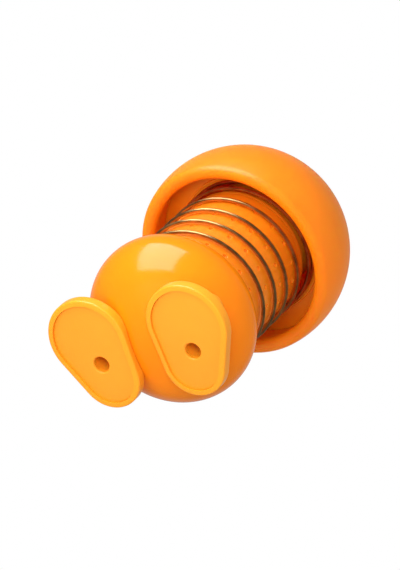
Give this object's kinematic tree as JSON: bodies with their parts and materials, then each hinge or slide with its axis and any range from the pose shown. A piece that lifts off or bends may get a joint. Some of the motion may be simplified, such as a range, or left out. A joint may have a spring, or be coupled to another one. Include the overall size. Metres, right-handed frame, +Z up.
{
  "type": "egg slicer",
  "caption": "Press-action egg slicer: ball body on two feet with an egg cup inside, dimpled barrel with a coil spring, and a sprung dome that drives wedge blades down.",
  "frame": {"origin": "in the sole plane that it stands on, on the vertical axis of ball, barrel and dome", "axes": "+Z up along the axis from the soles to the top of the dome, -Y towards the toes, +X towards the figure's own left foot"},
  "size_m": [0.0898, 0.0898, 0.1391],
  "materials": {
    "glossy_orange": "polished injection-moulded plastic",
    "satin_orange": "semi-gloss moulded plastic",
    "pale_orange": "semi-gloss moulded plastic",
    "sole_orange": "satin moulded plastic",
    "silicone": "soft food-safe silicone",
    "black_rubber": "matt rubber",
    "orange_rubber": "soft matt rubber",
    "steel": "plated steel",
    "spring_bronze": "drawn bronze-coloured spring wire",
    "blade_steel": "polished stainless steel"
  },
  "bodies": {
    "body": {"body_bowl": "glossy_orange", "egg_cup": "pale_orange", "cup_pad": "silicone", "left_foot": "pale_orange", "left_sole": "sole_orange", "left_foot_screw": "steel", "right_foot": "pale_orange", "right_sole": "sole_orange", "right_foot_screw": "steel"},
    "barrel_unit": {"barrel": "satin_orange", "collar_seal": "black_rubber", "spring_washer": "steel", "stroke_bumper": "orange_rubber", "return_spring": "spring_bronze"},
    "head_unit": {"head_shell": "satin_orange", "guide_ring": "satin_orange", "plunger_sleeve": "pale_orange", "plunger_screw_1": "steel", "plunger_screw_2": "steel", "plunger_screw_3": "steel", "blade_ring": "pale_orange", "wedge_blades": "blade_steel"}
  },
  "joints": [
    {"name": "barrel_lift", "type": "slide", "parent": "body", "child": "barrel_unit", "axis": [0, 0, 1], "range_m": [0, 0.06]},
    {"name": "head_press", "type": "slide", "parent": "barrel_unit", "child": "head_unit", "axis": [0, 0, 1], "range_m": [-0.032, 0], "stiffness_N_per_m": 75, "springref_m": 0.032, "deforming": ["return_spring"]}
  ]
}
